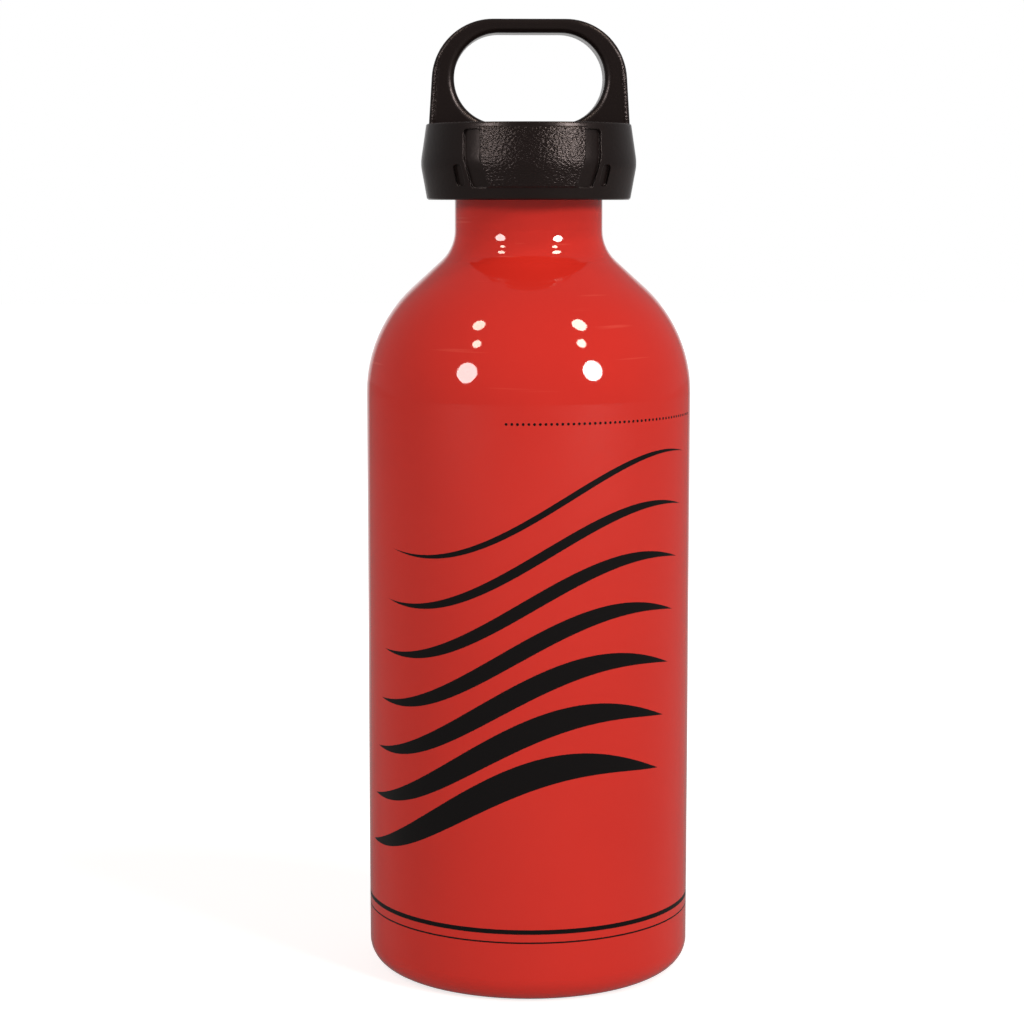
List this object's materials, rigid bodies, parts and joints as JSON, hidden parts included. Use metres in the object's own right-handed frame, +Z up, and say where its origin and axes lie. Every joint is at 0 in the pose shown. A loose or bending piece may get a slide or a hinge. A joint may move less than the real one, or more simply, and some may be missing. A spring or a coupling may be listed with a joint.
{
  "type": "camping fuel bottle",
  "caption": "Slim aluminium liquid fuel bottle in glossy red enamel, closed by a black push-and-turn screw cap with a carrying loop on top.",
  "frame": {"origin": "centre of the bottle's foot, on the surface it stands on", "axes": "+Z up along the bottle's axis, X along the carrying loop's width, -Y towards the front of the picture"},
  "size_m": [0.064, 0.064, 0.1874],
  "materials": {
    "red_enamel": "aluminium under glossy baked red enamel",
    "plug_plastic": "moulded, satin",
    "seal_rubber": "moulded fuel-proof rubber",
    "spring_steel": "drawn stainless wire",
    "washer_plastic": "natural acetal",
    "ring_steel": "stamped stainless",
    "cap_plastic": "moulded, partly grained"
  },
  "bodies": {
    "bottle": {"bottle_shell": "red_enamel"},
    "seal": {"neck_o_ring": "seal_rubber"},
    "plug": {"threaded_plug": "plug_plastic", "clutch_spring": "spring_steel"},
    "washer": {"thrust_washer": "washer_plastic"},
    "cap": {"outer_cap": "cap_plastic", "retaining_ring": "ring_steel"}
  },
  "joints": [
    {"name": "plug_lift", "type": "slide", "parent": "bottle", "child": "seal", "axis": [0, 0, 1], "range_m": [0, 0.024]},
    {"name": "plug_turn", "type": "hinge", "parent": "seal", "child": "plug", "pos_m": [0, 0, 0.1585], "axis": [0, 0, 1], "range_deg": [0, 2881]},
    {"name": "cap_push", "type": "slide", "parent": "plug", "child": "washer", "axis": [0, 0, -1], "range_m": [0, 0.0028], "stiffness_N_per_m": 2400, "springref_m": -0.0015, "deforming": ["clutch_spring"]},
    {"name": "cap_spin", "type": "hinge", "parent": "washer", "child": "cap", "pos_m": [0, 0, 0.1648], "axis": [0, 0, 1], "continuous": true}
  ],
  "couplings": [
    {"joint": "plug_turn", "follows": "plug_lift", "rad_per_m": 2094.4}
  ]
}
